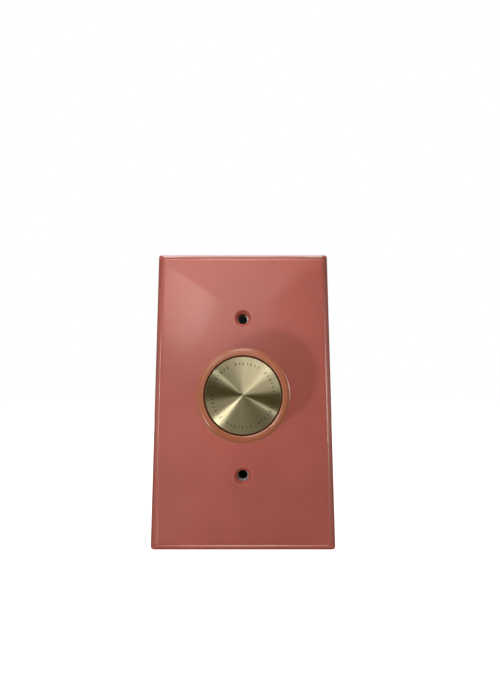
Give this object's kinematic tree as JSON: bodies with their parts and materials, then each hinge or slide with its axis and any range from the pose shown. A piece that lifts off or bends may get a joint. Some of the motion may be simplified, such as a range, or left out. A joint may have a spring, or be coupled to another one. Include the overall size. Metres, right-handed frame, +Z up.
{
  "type": "rotary wall dimmer with push switch and wall plate",
  "caption": "Wall dimmer with a round push and turn knob, spun metal disc in its face, rose plastic single-gang wall plate and the dimmer body behind it.",
  "frame": {"origin": "where the control's axis meets the wall surface, at the centre of the wall plate's back rim", "axes": "+X to the right seen from the room, +Y into the wall along the control's axis, +Z up"},
  "size_m": [0.0698, 0.0783, 0.1142],
  "materials": {
    "rose_plastic": "moulded, dusty rose, smooth",
    "spun_metal": "spun finish, warm nickel tone",
    "strap_aluminium": "plain stamped sheet",
    "zinc_steel": "zinc plated",
    "spring_steel": "plain drawn",
    "brass": "turned or stamped",
    "silver_alloy": "plain contact metal",
    "red_fibre": "vulcanised fibre",
    "black_phenolic": "moulded phenolic",
    "white_nylon": "moulded nylon",
    "brown_laminate": "paper phenolic sheet",
    "carbon_film": "printed resistive ink",
    "black_epoxy": "moulded epoxy",
    "mica": "thin mica sheet",
    "blue_glass": "sealed glass body",
    "tan_coating": "dipped coating",
    "yellow_film": "dipped film capacitor",
    "ferrite": "sintered ferrite",
    "enamelled_copper": "enamelled winding wire",
    "bare_copper": "bare copper",
    "black_insulation": "extruded insulation",
    "green_insulation": "extruded insulation"
  },
  "bodies": {
    "base": {"wall_plate": "rose_plastic", "mounting_strap": "strap_aluminium", "box_screws": "zinc_steel", "screw_retainers": "red_fibre", "housing": "black_phenolic", "housing_screws": "zinc_steel", "bushing": "brass", "lock_washer": "zinc_steel", "bushing_nut": "zinc_steel", "pot_can": "zinc_steel", "track_base": "brown_laminate", "carbon_track": "carbon_film", "collector_ring": "silver_alloy", "pot_terminals": "brass", "switch_body": "black_phenolic", "plunger_spring": "spring_steel", "rocker_pin": "zinc_steel", "fixed_contacts": "brass", "circuit_board": "brown_laminate", "triac": "black_epoxy", "triac_insulator": "mica", "triac_rivet": "strap_aluminium", "diac": "blue_glass", "resistors": "tan_coating", "film_capacitors": "yellow_film", "choke_core": "ferrite", "choke_winding": "enamelled_copper", "line_lead": "black_insulation", "load_lead": "black_insulation", "lead_cores": "bare_copper", "ground_lug": "brass", "ground_rivet": "strap_aluminium", "ground_lead": "green_insulation", "ground_core": "bare_copper"},
    "plunger": {"plunger": "white_nylon"},
    "spindle": {"shaft": "brass", "shaft_clip": "spring_steel", "knob": "rose_plastic", "knob_clip": "spring_steel", "knob_disc": "spun_metal"},
    "wiper": {"wiper_rotor": "white_nylon", "wiper_contact": "brass"},
    "rocker": {"rocker": "white_nylon", "contact_bridge": "silver_alloy"}
  },
  "joints": [
    {"name": "push", "type": "slide", "parent": "base", "child": "plunger", "axis": [0, 1, 0], "range_m": [0, 0.0016], "stiffness_N_per_m": 600, "springref_m": -0.0008, "deforming": ["plunger_spring"]},
    {"name": "knob_turn", "type": "hinge", "parent": "plunger", "child": "spindle", "pos_m": [0, 0, 0], "axis": [0, 1, 0], "range_deg": [0, 300]},
    {"name": "wiper_turn", "type": "hinge", "parent": "base", "child": "wiper", "pos_m": [0, 0.008, 0], "axis": [0, 1, 0], "range_deg": [0, 300]},
    {"name": "contact_rocker", "type": "hinge", "parent": "base", "child": "rocker", "pos_m": [0, 0.0234, 0], "axis": [0, 0, 1], "range_deg": [0, 16]}
  ],
  "couplings": [
    {"joint": "wiper_turn", "follows": "knob_turn", "ratio": 1}
  ]
}
